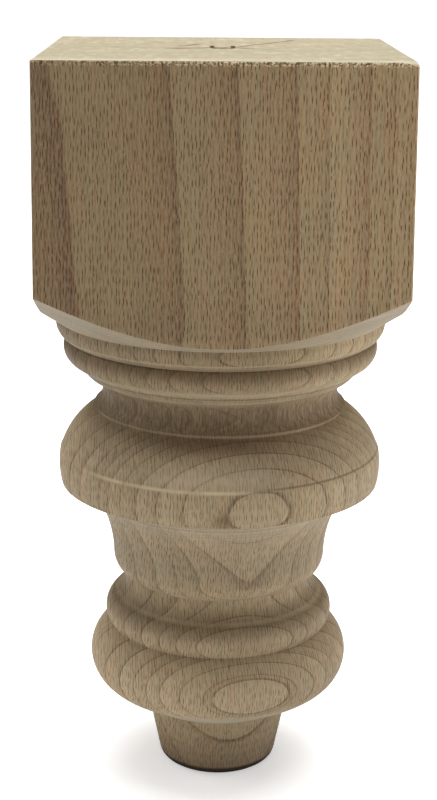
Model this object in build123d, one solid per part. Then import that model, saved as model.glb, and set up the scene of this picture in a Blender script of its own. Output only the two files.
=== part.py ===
from build123d import *
import math
import os

# Turned wooden furniture leg, one solid piece of beech: a square block above a turned stem and foot.
# Millimetres, +Z up. The origin is the middle of the foot's underside, and the block is square to X and Y.

os.makedirs("parts", exist_ok=True)

# The square blank that the leg is turned from
block_width = 90.0
block_edge_radius = 0.8
block_top_easing = 0.3

# Heights of the turned shapes, from the foot up
foot_rounding_height = 1.8
foot_height = 14.6
bulb_underside_height = 5.7
bulb_height = 17.4
roll_height = 8.4
neck_height = 5.4
vase_base_height = 5.6
vase_height = 17.7
rim_underside_height = 2.6
band_height = 8.9
dome_height = 11.1
lip_height = 0.9
cove_height = 8.4
cove_shoulder_height = 3.1
bead_height = 6.5
ovolo_height = 5.8
block_shoulder_height = 13.4
block_side_height = 56.0

# Diameters at the turned edges, from the foot up
sole_diameter = 26.6
foot_lower_diameter = 31.4
foot_upper_diameter = 37.6
bulb_lower_diameter = 57.4
bulb_groove_diameter = 58.2
roll_upper_diameter = 54.4
neck_diameter = 48.8
vase_lower_diameter = 56.6
vase_upper_diameter = 67.8
band_lower_diameter = 84.2
band_upper_diameter = 84.6
dome_upper_diameter = 65.6
cove_lower_diameter = 66.6
cove_upper_diameter = 70.2
bead_lower_diameter = 76.0
bead_upper_diameter = 81.8
bead_groove_diameter = 78.0
ovolo_upper_diameter = 86.4

# How far each round stretch bows out from a straight line between its two edges
foot_rounding_bow = 0.5
bulb_bow = 5.6
roll_bow = 2.2
neck_hollow = 0.5
vase_base_bow = 1.05
vase_hollow = 1.3
band_bow = 0.6
dome_bow = 1.35
cove_hollow = 3.0
bead_bow = 1.7
ovolo_bow = 1.2

# Marks that the lathe's centres left in the two ends
ring_mark_diameter = 5.0
ring_mark_width = 1.0
ring_mark_depth = 1.2
top_point_diameter = 1.6
top_point_depth = 1.4
sole_point_diameter = 4.0
sole_point_depth = 3.4


def bowed_out(start, end, bow):
    """Arc going up the outline that stands proud of the straight line by bow."""
    return SagittaArc(start, end, -bow)


def bowed_in(start, end, hollow):
    """Arc going up the outline that lies behind the straight line by hollow."""
    return SagittaArc(start, end, hollow)


# Levels of the turned edges above the floor
foot_lower_level = foot_rounding_height
foot_upper_level = foot_lower_level + foot_height
bulb_lower_level = foot_upper_level + bulb_underside_height
bulb_groove_level = bulb_lower_level + bulb_height
roll_upper_level = bulb_groove_level + roll_height
neck_level = roll_upper_level + neck_height
vase_lower_level = neck_level + vase_base_height
vase_upper_level = vase_lower_level + vase_height
band_lower_level = vase_upper_level + rim_underside_height
band_upper_level = band_lower_level + band_height
dome_upper_level = band_upper_level + dome_height
cove_lower_level = dome_upper_level + lip_height
cove_upper_level = cove_lower_level + cove_height
bead_lower_level = cove_upper_level + cove_shoulder_height
bead_upper_level = bead_lower_level + bead_height
ovolo_upper_level = bead_upper_level + ovolo_height
block_corner_level = ovolo_upper_level + block_shoulder_height
top_level = block_corner_level + block_side_height

# Edges of the turned outline as points (distance from the axis, height)
block_corner_reach = block_width / math.sqrt(2)
sole_centre = (0, 0)
sole_edge = (sole_diameter / 2, 0)
foot_lower = (foot_lower_diameter / 2, foot_lower_level)
foot_upper = (foot_upper_diameter / 2, foot_upper_level)
bulb_lower = (bulb_lower_diameter / 2, bulb_lower_level)
bulb_groove = (bulb_groove_diameter / 2, bulb_groove_level)
roll_upper = (roll_upper_diameter / 2, roll_upper_level)
neck = (neck_diameter / 2, neck_level)
vase_lower = (vase_lower_diameter / 2, vase_lower_level)
vase_upper = (vase_upper_diameter / 2, vase_upper_level)
band_lower = (band_lower_diameter / 2, band_lower_level)
band_upper = (band_upper_diameter / 2, band_upper_level)
dome_upper = (dome_upper_diameter / 2, dome_upper_level)
cove_lower = (cove_lower_diameter / 2, cove_lower_level)
cove_upper = (cove_upper_diameter / 2, cove_upper_level)
bead_lower = (bead_lower_diameter / 2, bead_lower_level)
bead_upper = (bead_upper_diameter / 2, bead_upper_level)
bead_groove = (bead_groove_diameter / 2, bead_upper_level)
ovolo_upper = (ovolo_upper_diameter / 2, ovolo_upper_level)
block_corner = (block_corner_reach, block_corner_level)
top_corner = (block_corner_reach, top_level)
top_centre = (0, top_level)

# Turned outline, from the middle of the sole up to the top of the block and back down the axis
outline = Curve() + [
    Line(sole_centre, sole_edge),
    bowed_out(sole_edge, foot_lower, foot_rounding_bow),
    Line(foot_lower, foot_upper),
    Line(foot_upper, bulb_lower),
    bowed_out(bulb_lower, bulb_groove, bulb_bow),
    bowed_out(bulb_groove, roll_upper, roll_bow),
    bowed_in(roll_upper, neck, neck_hollow),
    bowed_out(neck, vase_lower, vase_base_bow),
    bowed_in(vase_lower, vase_upper, vase_hollow),
    Line(vase_upper, band_lower),
    bowed_out(band_lower, band_upper, band_bow),
    bowed_out(band_upper, dome_upper, dome_bow),
    Line(dome_upper, cove_lower),
    bowed_in(cove_lower, cove_upper, cove_hollow),
    Line(cove_upper, bead_lower),
    bowed_out(bead_lower, bead_upper, bead_bow),
    Line(bead_upper, bead_groove),
    bowed_out(bead_groove, ovolo_upper, ovolo_bow),
    Line(ovolo_upper, block_corner),
    Line(block_corner, top_corner),
    Line(top_corner, top_centre),
    Line(top_centre, sole_centre),
]
turned = revolve(Plane.XZ * make_face(outline), Axis.Z)

# The square blank, with its upright edges eased and the arrises of its top broken
blank = extrude(RectangleRounded(block_width, block_width, block_edge_radius), amount=top_level)
blank = chamfer(blank.faces().sort_by(Axis.Z)[-1].edges(), block_top_easing)

# Ring and point from the lathe's drive end, and the tailstock's point in the sole
ring_inner = ring_mark_diameter / 2 - ring_mark_width / 2
ring_outer = ring_mark_diameter / 2 + ring_mark_width / 2
ring_outline = Polyline(
    (ring_inner, top_level),
    (ring_outer, top_level),
    (ring_mark_diameter / 2, top_level - ring_mark_depth),
    close=True,
)
ring_mark = revolve(Plane.XZ * make_face(ring_outline), Axis.Z)
top_point = Pos(0, 0, top_level - top_point_depth / 2) * Cone(0, top_point_diameter / 2, top_point_depth)
sole_point = Pos(0, 0, sole_point_depth / 2) * Cone(sole_point_diameter / 2, 0, sole_point_depth)

leg = (turned & blank) - ring_mark - top_point - sole_point
leg = leg.solid()

export_step(leg, "parts/turned_leg.step")
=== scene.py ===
import math

import bpy
import numpy as np
from mathutils import Matrix, Vector


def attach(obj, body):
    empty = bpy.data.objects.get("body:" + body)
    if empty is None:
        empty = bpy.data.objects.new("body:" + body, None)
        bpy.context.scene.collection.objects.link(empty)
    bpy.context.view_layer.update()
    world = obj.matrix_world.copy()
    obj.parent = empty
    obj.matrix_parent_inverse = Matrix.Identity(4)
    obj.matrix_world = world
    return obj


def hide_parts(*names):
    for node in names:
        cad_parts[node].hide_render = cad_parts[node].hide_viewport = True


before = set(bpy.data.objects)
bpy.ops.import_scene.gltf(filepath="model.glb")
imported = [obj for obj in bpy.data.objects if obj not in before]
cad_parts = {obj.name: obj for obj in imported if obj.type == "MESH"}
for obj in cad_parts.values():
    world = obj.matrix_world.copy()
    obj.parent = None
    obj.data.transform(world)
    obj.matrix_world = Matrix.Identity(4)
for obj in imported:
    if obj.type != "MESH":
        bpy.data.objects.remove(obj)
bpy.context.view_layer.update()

# Camera: it stands 434 mm in front of the leg and 223 mm above the floor, and looks 10.7 degrees down.
# Its picture is shifted down, so that the whole leg fills the upright frame without leaning.
camera_place = Vector((-0.004892, -0.433634, 0.222653))
camera_turn = math.radians(0.555)
camera_pitch = math.radians(10.707)
camera_roll = math.radians(0.463)
camera_lens = 75.79
camera_sensor = 36
camera_shift = -0.1875

look = Vector((math.sin(camera_turn) * math.cos(camera_pitch),
               math.cos(camera_turn) * math.cos(camera_pitch),
               -math.sin(camera_pitch)))
level_right = Vector((math.cos(camera_turn), -math.sin(camera_turn), 0))
level_up = level_right.cross(look)
right = math.cos(camera_roll) * level_right + math.sin(camera_roll) * level_up
up = right.cross(look)
camera_data = bpy.data.cameras.new("camera")
camera_data.sensor_width = camera_sensor
camera_data.lens = camera_lens
camera_data.shift_y = camera_shift
camera = bpy.data.objects.new("camera", camera_data)
camera.matrix_world = Matrix.Translation(camera_place) @ Matrix((right, up, -look)).transposed().to_4x4()
bpy.context.scene.collection.objects.link(camera)
bpy.context.scene.camera = camera

# Floor: one wide sheet of white paper that the leg stands on, lying flat out to the far background.
# Seen by the camera it also glows, weakly beside the leg and at full white further out, so that only
# the leg's own shadow shows on it. The glow lights nothing.
floor_half = 8.0
paper_white = (0.88, 0.88, 0.88, 1)
glow_starts, glow_full = 0.12, 0.6
glow_beside_leg, glow_far_out = 0.5, 1.0

floor_mesh = bpy.data.meshes.new("floor")
floor_mesh.from_pydata([(-floor_half, -floor_half, 0), (floor_half, -floor_half, 0),
                        (floor_half, floor_half, 0), (-floor_half, floor_half, 0)], [], [(0, 1, 2, 3)])
floor = bpy.data.objects.new("floor", floor_mesh)
bpy.context.scene.collection.objects.link(floor)


def new_material(name):
    """An empty node material, and a function that adds one node to it.
    The function takes the node's kind, the value or source of each input, and the node's settings."""
    material = bpy.data.materials.new(name)
    material.use_nodes = True
    tree = material.node_tree
    tree.nodes.clear()

    def add(kind, inputs=(), **settings):
        node = tree.nodes.new("ShaderNode" + kind)
        for key, value in settings.items():
            setattr(node, key, value)
        for key, value in dict(inputs).items():
            if isinstance(value, bpy.types.NodeSocket):
                tree.links.new(value, node.inputs[key])
            else:
                node.inputs[key].default_value = value
        return node

    return material, add


paper, add = new_material("white_paper")
paper_diffuse = add("BsdfDiffuse", {"Color": paper_white})
from_middle = add("VectorMath", {0: add("TexCoord").outputs["Object"]}, operation="LENGTH").outputs["Value"]
glow = add("MapRange", {"Value": from_middle, "From Min": glow_starts, "From Max": glow_full,
                        "To Min": glow_beside_leg, "To Max": glow_far_out})
paper_glow = add("Emission", {"Color": (1, 1, 1, 1), "Strength": glow.outputs["Result"]})
paper_rays = add("LightPath")
paper_seen = add("MixShader", {0: paper_rays.outputs["Is Camera Ray"], 2: paper_glow.outputs[0]})
paper_sum = add("AddShader", {0: paper_diffuse.outputs[0], 1: paper_seen.outputs[0]})
add("OutputMaterial", {"Surface": paper_sum.outputs[0]})
floor_mesh.materials.append(paper)


# Light: a big soft panel overhead and a weak even sky, so the top is bright and the front is dim.
# Weak panels at the two sides and low in front fill in, and what faces down is lit by the white floor.
def soft_panel(name, place, target, width, height, power):
    """A rectangular lamp in the room, aimed from its place at a target."""
    data = bpy.data.lights.new(name, "AREA")
    data.shape = "RECTANGLE"
    data.size, data.size_y, data.energy = width, height, power
    lamp = bpy.data.objects.new(name, data)
    aim = (Vector(target) - Vector(place)).to_track_quat("-Z", "Y")
    lamp.matrix_world = Matrix.Translation(place) @ aim.to_matrix().to_4x4()
    lamp.visible_camera = False
    bpy.context.scene.collection.objects.link(lamp)


soft_panel("overhead_panel", place=(0.1, 0.22, 1.4), target=(0, 0.05, 0.1), width=1.6, height=1.4, power=29)
soft_panel("right_panel", place=(0.9, 0.0, 0.2), target=(0, 0, 0.1), width=0.6, height=0.25, power=1.8)
soft_panel("left_panel", place=(-0.8, 0.15, 0.5), target=(0, 0, 0.08), width=0.6, height=0.3, power=1.7)
soft_panel("front_panel", place=(0.2, -0.8, 0.05), target=(0, 0, 0.03), width=1.2, height=0.08, power=0.9)

sky_on_leg, sky_seen = 0.13, 1.0
world = bpy.data.worlds.new("studio")
world.use_nodes = True
bpy.context.scene.world = world
sky = world.node_tree
sky_rays = sky.nodes.new("ShaderNodeLightPath")
sky_strength = sky.nodes.new("ShaderNodeMapRange")
sky_strength.inputs["To Min"].default_value = sky_on_leg
sky_strength.inputs["To Max"].default_value = sky_seen
sky.links.new(sky_rays.outputs["Is Camera Ray"], sky_strength.inputs["Value"])
sky.links.new(sky_strength.outputs["Result"], sky.nodes["Background"].inputs["Strength"])
sky.nodes["Background"].inputs["Color"].default_value = (1, 1, 1, 1)
bpy.context.scene.view_settings.view_transform = "Standard"

# Leg: one piece of beech, a square block planed from the plank with a stem and foot turned below it.
# Its edges are as the tools left them, only just eased, and the end grain on top keeps the lathe's marks.
# Its sizes are in metres, and those that end in _mm are in millimetres.
block_width = 0.0900
block_edge_radius = 0.0008
leg_height = 0.1933
block_corner_level = 0.1373
top_easing = 0.0003
arris_easing = 0.00012
worn_corner_depth, worn_corner_spread, worn_corner_height = 0.0008, 0.0022, 0.004
easing_mm = 0.06
# Each turned edge from the sole up: distance from the axis, height, and how far the stretch
# that leads up to it bows out (or in, below zero) from a straight line. It starts at the tip of the
# small cone that the lathe's centre left in the sole.
turned_edges_mm = [
    (0.0, 3.4, 0), (2.0, 0.0, 0), (13.3, 0.0, 0), (15.7, 1.8, 0.5), (18.8, 16.4, 0), (28.7, 22.1, 0),
    (29.1, 39.5, 5.6), (27.2, 47.9, 2.2), (24.4, 53.3, -0.5), (28.3, 58.9, 1.05), (33.9, 76.6, -1.3),
    (42.1, 79.2, 0), (42.4, 87.9, 0.45), (42.0, 88.7, 0), (32.8, 99.2, 1.35), (33.3, 100.1, 0),
    (35.1, 108.5, -3.0), (38.0, 111.6, 0), (40.9, 117.9, 1.7), (40.3, 118.3, 0), (43.2, 123.9, 1.2),
]
# The ring and the point that the lathe's drive end left in the top: distance from the axis, and depth
lathe_mark_mm = [(3.0, 0), (2.9, 0.24), (2.5, 1.2), (2.1, 0.24), (2.0, 0), (0.8, 0), (0.7, 0.15)]
lathe_point_depth = 0.0014
# How close the mesh is: rings up the turning, columns round it and beside the block's upright edges, and
# rings up the shoulder, up the block's sides and in over its top, as shares of the way
turned_rows = 210
column_degrees = 1.25
corner_columns_degrees = [0.15, 0.3, 0.45, 0.6, 0.72, 0.85]
sharp_edge_degrees = 35
shoulder_share = np.array([[0.12], [0.3], [0.5], [0.7], [0.85], [0.95]])
side_share = np.array([[0.02], [0.1], [0.25], [0.5], [0.75], [0.9], [0.97]])
top_share = np.array([[0.03], [0.1], [0.3], [0.55], [0.8], [0.95]])


def turned_outline(edges, rows, blur):
    """Points up a turned outline. Between two edges it follows the circular arc over their chord that has
    the given bow, drawn in short steps. A running mean along the line, weighted by a bell curve as wide as
    blur, eases every edge. Rows are picked evenly by length plus turning, so they lie closest where the
    outline turns most."""
    step = 0.02
    length_weight, turning_weight, mean_points = 0.02, 0.5, 9
    stretches = []
    for (r0, z0, _), (r1, z1, bow) in zip(edges[:-1], edges[1:]):
        start, end = np.array([r0, z0]), np.array([r1, z1])
        chord = end - start
        length = np.hypot(*chord)
        share = np.linspace(0, 1, max(3, int(length / step)))[:, None]
        outward = np.array([chord[1], -chord[0]]) / length
        if bow:
            radius = (length ** 2 / 4 + bow ** 2) / (2 * abs(bow))
            half_turn = math.asin(min(1, length / 2 / radius))
            turn = (2 * share - 1) * half_turn
            along = radius * np.sin(turn) + length / 2
            rise = np.sign(bow) * radius * (np.cos(turn) - math.cos(half_turn))
        else:
            along, rise = share * length, share * 0
        stretches.append((start + along * chord / length + rise * outward)[:-1])
    line = np.concatenate(stretches + [np.array([edges[-1][:2]])])
    travel = np.concatenate([[0], np.cumsum(np.hypot(*np.diff(line, axis=0).T))])
    even = np.arange(0, travel[-1], step)
    line = np.stack([np.interp(even, travel, part) for part in line.T], 1)
    reach = int(round(3 * blur / step))
    window = np.exp(-0.5 * (np.arange(-reach, reach + 1) * step / blur) ** 2)
    window /= window.sum()
    padded = np.concatenate([2 * line[0] - line[reach:0:-1], line, 2 * line[-1] - line[-2:-reach - 2:-1]])
    line = np.stack([np.convolve(part, window, "valid") for part in padded.T], 1)
    direction = np.unwrap(np.arctan2(*np.gradient(line, axis=0).T))
    weight = length_weight + turning_weight * np.abs(np.gradient(direction))
    weight = np.convolve(weight, np.full(mean_points, 1 / mean_points), "same")
    count = np.concatenate([[0], np.cumsum((weight[1:] + weight[:-1]) / 2)])
    pick = np.interp(np.linspace(0, count[-1], rows), count, np.arange(len(count)))
    return np.stack([np.interp(pick, np.arange(len(line)), part) for part in line.T], 1)


def rounded_square(angle, width, radius):
    """Distance from the middle to the side of a square at each angle, its corners rounded to a radius:
    half the width over the cosine of the angle from the side's middle, and in a corner the far crossing
    of the line at that angle with the corner's circle."""
    quarter = np.abs((angle + math.pi / 4) % (math.pi / 2) - math.pi / 4)
    flat = width / 2 / np.cos(quarter)
    inner = width / 2 - radius
    off = inner * (np.cos(quarter) - np.sin(quarter))
    corner = inner * (np.cos(quarter) + np.sin(quarter)) + np.sqrt(np.maximum(radius ** 2 - off ** 2, 0))
    return np.where(width / 2 * np.tan(quarter) > inner, corner, flat)


def ring_mesh(name, rings_xyz, low_pole, high_pole):
    """A closed surface over an array of rings (ring, angle, xyz): a quad between each two neighbours on
    two rings, and a fan of triangles from the first and the last ring to the two poles. It is shaded
    smooth, but for edges that turn by more than the sharp edge's angle."""
    rows, columns = rings_xyz.shape[:2]
    points = np.concatenate([rings_xyz.reshape(-1, 3), [low_pole, high_pole]])
    row, column = np.meshgrid(np.arange(rows - 1), np.arange(columns), indexing="ij")
    following = (column + 1) % columns
    quads = np.stack([row * columns + column, row * columns + following,
                      (row + 1) * columns + following, (row + 1) * columns + column], -1).reshape(-1, 4)
    ring = np.arange(columns)
    after = (ring + 1) % columns
    low_fan = np.stack([after, ring, np.full(columns, rows * columns)], -1)
    last = (rows - 1) * columns
    high_fan = np.stack([last + ring, last + after, np.full(columns, rows * columns + 1)], -1)
    mesh = bpy.data.meshes.new(name)
    mesh.from_pydata(points.tolist(), [], quads.tolist() + low_fan.tolist() + high_fan.tolist())
    mesh.shade_smooth()
    mesh.set_sharp_from_angle(angle=math.radians(sharp_edge_degrees))
    return mesh


# Columns stand at even angles, and closer together over the block's rounded upright edges
corner_angles = np.arange(4)[:, None] * math.pi / 2 + math.pi / 4
near_corner = np.radians(corner_columns_degrees)
angles = np.unique(np.round(np.concatenate([
    np.radians(np.arange(0, 360, column_degrees)),
    (corner_angles + np.concatenate([-near_corner, [0], near_corner])).ravel()]), 9))
square = rounded_square(angles, block_width, block_edge_radius)


def rings(distance, level):
    """Rings of points round the axis, one row to a ring and one column to an angle, from their distances
    off the axis and their heights. Either has one value for a whole ring or one for each angle."""
    return np.stack(np.broadcast_arrays(np.atleast_2d(distance), np.atleast_2d(level), square)[:2], -1)


# The sloped shoulder is a cone that the block's four sides cut off, so its edge rises towards the corners
outline = turned_outline(turned_edges_mm, turned_rows, easing_mm) / 1000
stem_edge, stem_top = outline[-1]
shoulder_slope = (block_corner_level - stem_top) / (block_width / math.sqrt(2) - stem_edge)
shoulder_distance = stem_edge + (square - stem_edge) * shoulder_share
arris_level = stem_top + (square - stem_edge) * shoulder_slope
side_top = leg_height - top_easing
lathe_mark = np.array(lathe_mark_mm) / 1000
grid = np.concatenate([
    rings(outline[1:, :1], outline[1:, 1:]),
    rings(shoulder_distance, stem_top + (shoulder_distance - stem_edge) * shoulder_slope),
    rings(square - arris_easing, arris_level - arris_easing * shoulder_slope),
    rings(square, arris_level + arris_easing),
    rings(square, arris_level + (side_top - arris_level) * side_share),
    rings(square, side_top),
    rings(square - top_easing, leg_height),
    rings((square - top_easing) * (1 - top_share) + lathe_mark[0, 0] * top_share, leg_height),
    rings(lathe_mark[:, :1], leg_height - lathe_mark[:, 1:]),
])
grid_xyz = np.stack([grid[..., 0] * np.cos(angles), grid[..., 0] * np.sin(angles), grid[..., 1]], -1)
# The front right corner of the top is knocked round: points fall by a bell curve of their distance from it
corner_gap = np.hypot(grid_xyz[..., 0] - block_width / 2, grid_xyz[..., 1] + block_width / 2)
near_top = np.clip((grid_xyz[..., 2] - leg_height + worn_corner_height) / worn_corner_height, 0, 1)
grid_xyz[..., 2] -= worn_corner_depth * near_top * np.exp(-(corner_gap / worn_corner_spread) ** 2)
leg_mesh = ring_mesh("beech_leg", grid_xyz, (0, 0, outline[0, 1]), (0, 0, leg_height - lathe_point_depth))
leg = bpy.data.objects.new("beech_leg", leg_mesh)
bpy.context.scene.collection.objects.link(leg)
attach(leg, "root")
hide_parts("turned_leg")

# Wood of the leg: dry unfinished beech, sawn well outside the tree's heart, so its growth rings are wide,
# nearly flat sheets that the turning cuts into arches and ovals. Short dark ray flecks stand upright all
# over it. Heights and distances in the material are in millimetres.
beech, add = new_material("raw_beech")


def maths(operation, *values):
    """One arithmetic step, named as Blender names it, on numbers or sockets."""
    return add("Math", dict(enumerate(values)), operation=operation).outputs[0]


def product(first, *others):
    """All the values multiplied together."""
    for value in others:
        first = maths("MULTIPLY", first, value)
    return first


def polynomial(x, *terms):
    """Sum of terms times rising powers of x, lowest first."""
    total = terms[-1]
    for term in reversed(terms[:-1]):
        total = maths("MULTIPLY_ADD", x, total, term)
    return total


def smooth_step(value, low, high, start=0.0, end=1.0):
    """Start where the value is below low, end where it is above high, and a soft S-shaped change between."""
    return add("MapRange", {"Value": value, "From Min": low, "From Max": high, "To Min": start,
                            "To Max": end}, interpolation_type="SMOOTHSTEP").outputs["Result"]


def gap(value, middle):
    """How far a value lies from a middle one: their difference without its sign."""
    return maths("ABSOLUTE", maths("SUBTRACT", value, middle))


def noise(place, scale, detail=2.0, roughness=0.5):
    """Soft random field from 0 to 1 over places in millimetres; scale is its features per millimetre."""
    return add("TexNoise", {"Vector": place, "Scale": scale, "Detail": detail,
                            "Roughness": roughness}).outputs[0]


def stretched(place, x, y, z):
    """Places multiplied by an amount of their own along each axis."""
    return add("Mapping", {"Vector": place, "Scale": (x, y, z)}).outputs[0]


def blend(factor, first, second, kind="MIX"):
    """The first colour where the factor is 0, going evenly over to the second where it is 1, or, where the
    kind is MULTIPLY, to the two colours multiplied."""
    return add("MixRGB", {"Fac": factor, "Color1": first, "Color2": second}, blend_type=kind).outputs[0]


def tinted(colour, tint):
    """A colour multiplied by a tint, channel by channel."""
    return blend(1.0, colour, tint, "MULTIPLY")


def tone(red, green, blue):
    """A colour as it reads on a screen, 0 to 255, in the shader's linear light: each channel over 255,
    plus 0.055, over 1.055, to the power 2.4."""
    return tuple(((c / 255 + 0.055) / 1.055) ** 2.4 for c in (red, green, blue)) + (1.0,)


coordinates = add("TexCoord")
place = stretched(coordinates.outputs["Object"], 1000, 1000, 1000)
split = add("SeparateXYZ", {0: place}).outputs
x_mm, y_mm, z_mm = split[0], split[1], split[2]
radius_mm = add("VectorMath", {0: stretched(place, 1, 1, 0)}, operation="LENGTH").outputs["Value"]
facing_up = add("SeparateXYZ", {0: coordinates.outputs["Normal"]}).outputs[2]


def level_line(level, half_width):
    """A mask that is 1 at a height and fades to 0 at half_width above and below it."""
    return smooth_step(gap(z_mm, level), 0.0, half_width, 1.0, 0.0)


# Growth: the distance from the tree's heart, which lies behind the leg and to its left and leans with
# height. Local bends of the grain at the block, the vase and the foot shift the heart or the growth.
rise = maths("MULTIPLY_ADD", z_mm, 0.01, -1.0)
block_bend = smooth_step(z_mm, 112.0, 134.0)
vase_bend = level_line(59.0, 12.0)
foot_bend = smooth_step(z_mm, 16.0, 21.0, 1.0, 0.0)
foot_drop = maths("MINIMUM", maths("SUBTRACT", z_mm, 18.0), 0.0)
band_bend = product(smooth_step(z_mm, 79.5, 86.0, 0.35, 0.0), smooth_step(z_mm, 78.5, 79.0))
heart_x = polynomial(rise, -37.1, -11.4, -1.6, 1.7)
for bend, shift in ((block_bend, -6.3), (foot_bend, 9.5), (vase_bend, -4.5)):
    heart_x = maths("MULTIPLY_ADD", bend, shift, heart_x)
heart_y = polynomial(rise, 167.1, 69.7)
from_heart_x = maths("SUBTRACT", x_mm, heart_x)
from_heart_y = maths("SUBTRACT", y_mm, heart_y)
heart_distance = maths("SQRT", maths("ADD", product(from_heart_x, from_heart_x),
                                     product(from_heart_y, from_heart_y)))
growth = maths("ADD", heart_distance, polynomial(rise, 0.0, -70.4, 0.6))
for bend, shift in ((block_bend, -1.5), (foot_drop, 0.35), (vase_bend, -1.05), (band_bend, 1.0)):
    growth = maths("MULTIPLY_ADD", bend, shift, growth)
slow_wander = maths("MULTIPLY_ADD", noise(place, 0.05, 1.0), 0.12, -0.06)
quick_wander = maths("MULTIPLY_ADD", noise(stretched(place, 1, 1, 0.3), 0.35, 2.0), 0.1, -0.05)
growth = maths("ADD", growth, maths("ADD", slow_wander, quick_wander))

# Growth rings: a curve turns growth into a count of rings. It passes a whole number where each ring ends,
# from 100 at the first listed one, and on both sides of the list it goes on with rings of the usual width.
ring_ends = [176.5, 185.6, 191.0, 194.8, 197.4, 199.7, 202.3, 205.1, 208.0,
             210.8, 213.5, 216.3, 219.4, 221.3, 224.2, 225.9, 228.5]
usual_ring = 2.45
curve_start, curve_span, curve_rings = 100.0, 130.0, 60.0
first_number = 100
rings_before = (ring_ends[0] - curve_start) / usual_ring
rings_after = (curve_start + curve_span - ring_ends[-1]) / usual_ring
all_rings = rings_before + len(ring_ends) - 1 + rings_after
ring_curve = add("FloatCurve", {"Value": maths("MULTIPLY_ADD", growth, 1 / curve_span,
                                               -curve_start / curve_span)})
points = ring_curve.mapping.curves[0].points
points[0].location = (0.0, 0.0)
points[1].location = (1.0, all_rings / curve_rings)
for number, ring_end in enumerate(ring_ends):
    points.new((ring_end - curve_start) / curve_span, (rings_before + number) / curve_rings)
for point in points:
    point.handle_type = "VECTOR"
ring_curve.mapping.update()
ring_count = maths("MULTIPLY_ADD", ring_curve.outputs[0], curve_rings, first_number - rings_before)
ring_part = maths("FRACT", ring_count)
ring_tone = add("TexWhiteNoise", {"W": maths("FLOOR", ring_count)}, noise_dimensions="1D").outputs["Value"]

# Late wood darkens towards each ring's end, less so in two faint rings, and ends in a thin dark line
late_wood = maths("POWER", ring_part, 2.0)
for faint_ring in (220.4, 225.1):
    late_wood = product(late_wood, smooth_step(gap(growth, faint_ring), 0.85, 1.0, 0.4, 1.0))
ring_line = product(smooth_step(ring_part, 0.88, 0.975), smooth_step(ring_part, 0.985, 1.0, 1.0, 0.0))
ring_line = product(ring_line, maths("MULTIPLY_ADD", noise(place, 0.07, 1.0), 1.4, 0.12))
# The bulb's innermost oval has a second line just outside it
second_line = product(smooth_step(gap(growth, 204.4), 0.02, 0.12, 0.6, 0.0),
                      smooth_step(z_mm, 36.0, 38.0, 1.0, 0.0))
ring_line = maths("MAXIMUM", ring_line, second_line)
in_cove = smooth_step(gap(z_mm, 104.0), 3.0, 6.0, 0.5, 1.0)
on_vase = smooth_step(gap(z_mm, 66.0), 7.0, 12.0, 0.65, 1.0)
ring_line = product(ring_line, in_cove, on_vase)
# One ring at the block's left ends in a red-brown band
dark_band = product(smooth_step(growth, 210.55, 210.77), smooth_step(growth, 210.79, 210.83, 1.0, 0.0))

# Ray flecks: thin upright sheets that point at the heart, cut across by most faces into short dark
# spindles. Their heart stays upright, on average where the rings' heart is.
ray_heart_x, ray_heart_y = -38.0, 167.0
heart_to_front = 212.0
ray_angle = maths("ARCTAN2", maths("SUBTRACT", x_mm, ray_heart_x), maths("SUBTRACT", ray_heart_y, y_mm))


def ray_flecks(spacing, height, depth, width_share, height_share, offset):
    """Spindles, one to a cell: cells are spacing wide round the heart, height tall and depth long. A place
    is on a spindle where its distance across over the width share, plus the square of its distance along
    over the height share, is under 1. The second value is 1 midway between two spindles."""
    cell = add("CombineXYZ", {0: maths("MULTIPLY_ADD", ray_angle, heart_to_front / spacing, offset),
                              1: maths("DIVIDE", z_mm, height),
                              2: maths("DIVIDE", heart_distance, depth)}).outputs[0]
    spot = add("TexVoronoi", {"Vector": cell, "Scale": 1.0, "Randomness": 0.75}, feature="F1")
    off = add("VectorMath", {0: cell, 1: spot.outputs["Position"]}, operation="SUBTRACT").outputs[0]
    part = add("SeparateXYZ", {0: off}).outputs
    across = maths("ABSOLUTE", maths("DIVIDE", part[0], width_share))
    along = maths("POWER", maths("ABSOLUTE", maths("DIVIDE", part[1], height_share)), 2.0)
    chance = add("SeparateColor", {0: spot.outputs["Color"]}).outputs[0]
    body = smooth_step(maths("ADD", across, along), 0.5, 1.0, 1.0, 0.0)
    return product(body, smooth_step(chance, 0.0, 0.7, 0.25, 1.0)), smooth_step(across, 1.2, 2.8)


flecks, between_flecks = ray_flecks(spacing=0.88, height=2.7, depth=22.0,
                                    width_share=0.14, height_share=0.45, offset=0.0)
small_flecks, between_small = ray_flecks(spacing=0.72, height=2.6, depth=9.0,
                                         width_share=0.13, height_share=0.45, offset=40.3)

# Fibre: long upright streaks, some pinkish and some straw-coloured, and wide blotches
fibre = noise(stretched(place, 1, 1, 0.06), 1.3, 3.0, 0.6)
fine_fibre = noise(stretched(place, 1, 1, 0.16), 3.8, 2.0, 0.6)
hue_fibre = noise(stretched(place, 1, 1, 0.08), 0.9, 3.0, 0.7)
blotch = noise(stretched(place, 1, 1, 0.4), 0.09, 2.0, 0.5)

# Where the block's planed sides are, and colours of the turned and the planed wood
planed = smooth_step(maths("MAXIMUM", maths("ABSOLUTE", x_mm), maths("ABSOLUTE", y_mm)), 44.8, 44.95)
turned = maths("SUBTRACT", 1.0, planed)


def by_finish(on_turned, on_planed):
    """One amount on the turned wood and another on the planed sides."""
    return smooth_step(planed, 0.0, 1.0, on_turned, on_planed)


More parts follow.
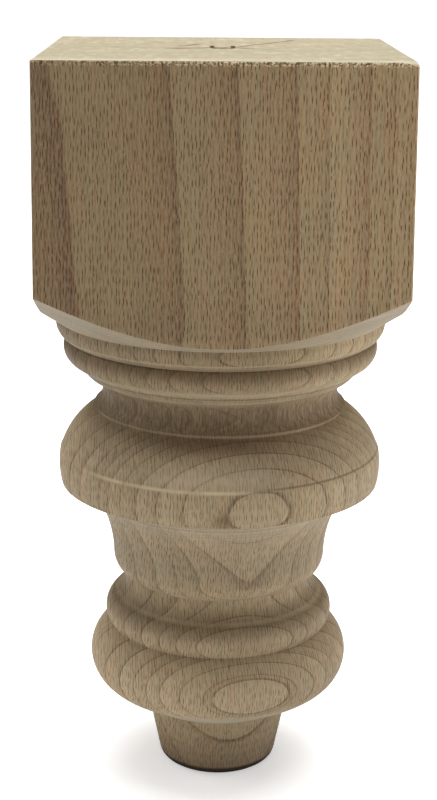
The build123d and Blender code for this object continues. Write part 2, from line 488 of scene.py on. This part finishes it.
turned_colour = blend(late_wood, tone(177, 157, 124), tone(157, 136, 103))
planed_colour = blend(late_wood, tone(171, 146, 108), tone(142, 109, 75))
side_colour = blend(planed, turned_colour, planed_colour)
side_colour = blend(product(ring_line, by_finish(0.9, 0.35)), side_colour, tone(82, 57, 34))
side_colour = blend(product(dark_band, 0.4), side_colour, tone(106, 64, 38))
side_colour = blend(smooth_step(fibre, 0.28, 0.7, 0.2, 0.0), side_colour, tone(100, 74, 44))
side_colour = blend(smooth_step(fine_fibre, 0.36, 0.64, 0.0, 0.28), side_colour, tone(202, 183, 154))
between = maths("MAXIMUM", between_flecks, maths("SUBTRACT", between_small, planed))
side_colour = blend(product(between, 0.18), side_colour, tone(208, 188, 158))
pinkish, straw = (1.045, 0.98, 0.94, 1), (0.965, 1.01, 0.99, 1)
side_colour = tinted(side_colour, blend(smooth_step(hue_fibre, 0.34, 0.66), pinkish, straw))
side_colour = blend(product(flecks, by_finish(0.45, 0.9)), side_colour, tone(84, 44, 10))
side_colour = blend(product(small_flecks, by_finish(0.8, 0.35)), side_colour, tone(88, 62, 32))

# Painted light and shade across the sides: the block is darker at its left, partly in its wood's tone and
# partly as painted shade, the turned shapes from the cove up carry painted light at their right, and the
# dome and all that is below the vase carry painted shade at theirs
from_left = maths("MAXIMUM", product(smooth_step(growth, 208.0, 221.0, 0.0, 0.66), planed),
                  product(smooth_step(x_mm, 6.0, 34.0), turned))
painted_side_tint = blend(from_left, (0.7, 0.69, 0.65, 1), (1.12, 1.11, 1.07, 1))
side_colour = blend(smooth_step(z_mm, 94.0, 106.0), side_colour, tinted(side_colour, painted_side_tint))
# Painted shade at the right of the dome and of all that is below the vase
painted_right_shade = blend(smooth_step(x_mm, -22.0, 26.0), (1.08, 1.08, 1.09, 1), (0.77, 0.77, 0.77, 1))
below_vase = smooth_step(z_mm, 38.0, 52.0, 1.0, 0.0)
painted_shade_levels = maths("MAXIMUM", below_vase, product(level_line(93.0, 7.0), 0.7))
side_colour = blend(painted_shade_levels, side_colour, tinted(side_colour, painted_right_shade))

# Cutter marks: fine rings round the turning, plainest where the tool crossed the grain, which is on what
# faces down and under the rim. There the paler grey is also painted light, as from the white floor below
faces_down_floor_lit = smooth_step(facing_up, -0.88, -0.56, 0.75, 0.0)
under_rim = product(smooth_step(z_mm, 68.0, 76.0, 0.0, 0.7), smooth_step(z_mm, 79.0, 79.3, 1.0, 0.0))
cutter = noise(add("CombineXYZ", {2: maths("ADD", z_mm, radius_mm)}).outputs[0], 1.9, 2.0, 0.6)
cutter_marks_and_floor_light = blend(smooth_step(cutter, 0.4, 0.6), tone(144, 129, 105), tone(187, 175, 154))
side_colour = blend(maths("MAXIMUM", faces_down_floor_lit, under_rim), side_colour, cutter_marks_and_floor_light)

# Painted shade over the roll's upper side and the neck above it, and over it pale edges, partly worn and
# partly painted highlight where they catch the light: at the roll's top, at the bead's foot and along the
# left of the band
side_colour = blend(product(level_line(47.4, 4.8), 0.4), side_colour, tone(84, 62, 42))
bead_and_roll = maths("ADD", product(level_line(111.3, 1.4), 0.18), product(level_line(47.9, 0.7), 0.35))
band_highlight_left = product(level_line(88.3, 0.7), smooth_step(x_mm, -38.0, -26.0),
                    smooth_step(x_mm, 0.0, 12.0, 1.0, 0.0))
worn_and_lit_edges = product(maths("ADD", bead_and_roll, band_highlight_left),
                     smooth_step(noise(place, 0.15, 2.0), 0.3, 0.6, 0.4, 1.0))
side_colour = blend(worn_and_lit_edges, side_colour, tone(212, 192, 154))

# Painted shade in the crease along the band's edge at its right, and a painted highlight along the lip above
# the dome
crease_shade = product(level_line(88.6, 0.5), smooth_step(x_mm, 5.0, 18.0, 0.0, 0.6))
side_colour = blend(crease_shade, side_colour, tone(88, 66, 44))
lip_highlight = product(level_line(99.6, 1.0), smooth_step(x_mm, -12.0, 14.0, 0.36, 0.55))
side_colour = blend(lip_highlight, side_colour, tone(184, 160, 132))

# Painted lines round the bead and its grooves, painted shade in a groove and a painted highlight on an edge,
# and painted light from the floor on the bulb's underside: height, half width, strength and colour
for level, half_width, strength, painted_line_colour in (
        (110.3, 0.45, 0.45, tone(84, 62, 42)),
        (108.9, 0.6, 0.3, tone(184, 166, 138)),
        (116.9, 2.2, 0.3, tone(84, 56, 38)),
        (118.9, 0.9, 0.4, tone(104, 82, 52)),
        (120.0, 0.45, 0.5, tone(190, 174, 140)),
        (20.5, 5.5, 0.5, tone(206, 192, 172))):
    side_colour = blend(product(level_line(level, half_width), strength), side_colour, painted_line_colour)

# Painted shade on the front of the dome under the lip and painted light lower down, dark streaks in the cove
# that are partly the wood's own and partly painted shade, and a little painted shade on the bead and the
# ovolo
near_front = smooth_step(gap(x_mm, -4.0), 6.0, 26.0, 1.0, 0.0)
side_colour = blend(product(level_line(97.8, 3.2), near_front, 0.5), side_colour, tone(92, 62, 44))
side_colour = blend(product(level_line(91.0, 4.5), near_front, 0.34), side_colour, tone(208, 190, 162))
cove_streaks_and_shade = product(level_line(103.5, 7.5), smooth_step(fibre, 0.3, 0.65, 0.8, 0.4))
side_colour = blend(cove_streaks_and_shade, side_colour, tone(94, 68, 46))
side_colour = blend(product(level_line(117.5, 6.5), 0.25), side_colour, tone(104, 80, 55))

# A brown spot on the band, and the foot, which darkens towards the floor, with a painted contact shadow
# nearly black at its edge
spot_gap = add("VectorMath", {0: place, 1: (0.5, -42.0, 81.0)}, operation="DISTANCE").outputs["Value"]
side_colour = blend(smooth_step(spot_gap, 1.0, 3.6, 0.45, 0.0), side_colour, tone(104, 76, 44))
side_colour = blend(smooth_step(z_mm, 2.0, 15.0, 0.32, 0.0), side_colour, tone(90, 62, 48))
# Painted contact shadow, nearly black, along the foot's lower edge
side_colour = blend(smooth_step(z_mm, 1.7, 2.7, 0.9, 0.0), side_colour, tone(42, 28, 20))

# Torn fibre along the top of the front face: dark chips, and pale tufts that hang over them
below_top = maths("SUBTRACT", 193.0, z_mm)
front_face = smooth_step(y_mm, -44.9, -44.7, 1.0, 0.0)
chip_depth = smooth_step(noise(stretched(place, 1, 0, 0.1), 1.8, 2.0), 0.42, 0.66, -0.4, 1.0)
chips = smooth_step(maths("SUBTRACT", below_top, chip_depth), -0.15, 0.1, 0.75, 0.0)
tufts = smooth_step(noise(stretched(place, 1, 0, 1), 1.5, 2.0, 0.6), 0.48, 0.58)
tufts = product(tufts, smooth_step(below_top, 0.5, 1.1, 0.95, 0.0), smooth_step(x_mm, -40.0, 5.0, 0.35, 1.0))
side_colour = blend(product(chips, front_face), side_colour, tone(84, 58, 34))
side_colour = blend(product(tufts, front_face), side_colour, tone(226, 206, 160))

# Top end: pale sawn end grain with faint blotches and a chalky bloom, palest along its front edge
end_colour = blend(late_wood, tone(182, 172, 145), tone(170, 158, 130))
end_colour = blend(product(flecks, 0.15), end_colour, tone(120, 100, 72))
mottle = noise(stretched(place, 1, 0.35, 1), 0.5, 4.0, 0.7)
mottle_tint = blend(smooth_step(mottle, 0.35, 0.65), (0.93, 0.91, 0.87, 1), (1.07, 1.07, 1.08, 1))
end_colour = tinted(end_colour, mottle_tint)
chalky = smooth_step(noise(stretched(place, 1, 0.4, 1), 0.25, 3.0, 0.7), 0.56, 0.72, 0.0, 0.35)
end_colour = blend(chalky, end_colour, tone(226, 218, 206))
end_colour = blend(smooth_step(y_mm, -45.0, -34.0, 0.45, 0.0), end_colour, tone(216, 208, 186))


def check_line(start, end, half_width, strength):
    """A wavering dark line from start to end, in millimetres on the top face: strength on the line,
    nothing at half_width from it, and fading over its last third."""
    length = math.dist(start, end)
    ahead = ((end[0] - start[0]) / length, (end[1] - start[1]) / length)
    off_x = maths("SUBTRACT", x_mm, start[0])
    off_y = maths("SUBTRACT", y_mm, start[1])
    along = maths("ADD", product(off_x, ahead[0]), product(off_y, ahead[1]))
    across = maths("SUBTRACT", product(off_x, ahead[1]), product(off_y, ahead[0]))
    across = maths("ADD", across, maths("MULTIPLY_ADD", noise(place, 0.12, 2.0), 3.0, -1.5))
    line = smooth_step(maths("ABSOLUTE", across), half_width * 0.3, half_width, strength, 0.0)
    return product(line, smooth_step(along, 0.0, 1.0), smooth_step(along, length * 0.65, length, 1.0, 0.0))


# Drying checks in the end grain, which spread from the lathe's mark, and the stain in and behind the mark
checks = check_line((3, 4), (24, 41), 1.0, 0.85)
for start, end, half_width, strength in (
        ((3, 2), (15, -6), 1.3, 0.7), ((-3, 2), (-16, -5), 1.3, 0.95), ((-8, 1), (-44, 3), 1.3, 0.4),
        ((-12, 6), (-4, 18), 1.3, 0.8), ((-9, 18), (-22, 22), 1.2, 0.4)):
    checks = maths("MAXIMUM", checks, check_line(start, end, half_width, strength))
end_colour = blend(checks, end_colour, tone(104, 86, 62))
stain = product(smooth_step(gap(maths("ABSOLUTE", x_mm), 2.7), 0.3, 0.9, 1.0, 0.0),
                smooth_step(gap(y_mm, 4.5), 3.5, 6.0, 1.0, 0.0))
stain = maths("MAXIMUM", stain, smooth_step(radius_mm, 2.0, 3.2, 0.25, 0.0))
end_colour = blend(stain, end_colour, tone(60, 40, 24))

# Sides and top together, with painted light on the bulb and painted shade on the vase and on the shoulder
# and the block's lowest part, and with differences of tone from ring to ring and in blotches
wood_colour = blend(smooth_step(facing_up, 0.93, 0.995), side_colour, end_colour)
for level, half_width, painted_level_tint in (
        (29.0, 14.0, (1.16, 1.16, 1.18, 1)), (64.0, 11.0, (0.83, 0.85, 0.88, 1)),
        (131.0, 9.0, (0.92, 0.92, 0.93, 1))):
    wood_colour = blend(level_line(level, half_width), wood_colour, tinted(wood_colour, painted_level_tint))
wood_colour = tinted(wood_colour, blend(ring_tone, (0.94, 0.94, 0.93, 1), (1.05, 1.05, 1.06, 1)))
wood_colour = tinted(wood_colour, blend(blotch, (1.1, 1.07, 1.03, 1), (0.9, 0.93, 0.96, 1)))

# The planed and sanded surface is dull, with raised fibre and sunk flecks, both far under a millimetre
relief = maths("ADD", product(fine_fibre, 0.6), product(flecks, -0.5))
bump = add("Bump", {"Height": relief, "Distance": 0.00006, "Strength": 0.6})
surface = add("BsdfPrincipled", {"Base Color": wood_colour, "Roughness": 0.62, "Specular IOR Level": 0.3,
                                 "Normal": bump.outputs[0]})
add("OutputMaterial", {"Surface": surface.outputs[0]})
leg_mesh.materials.append(beech)
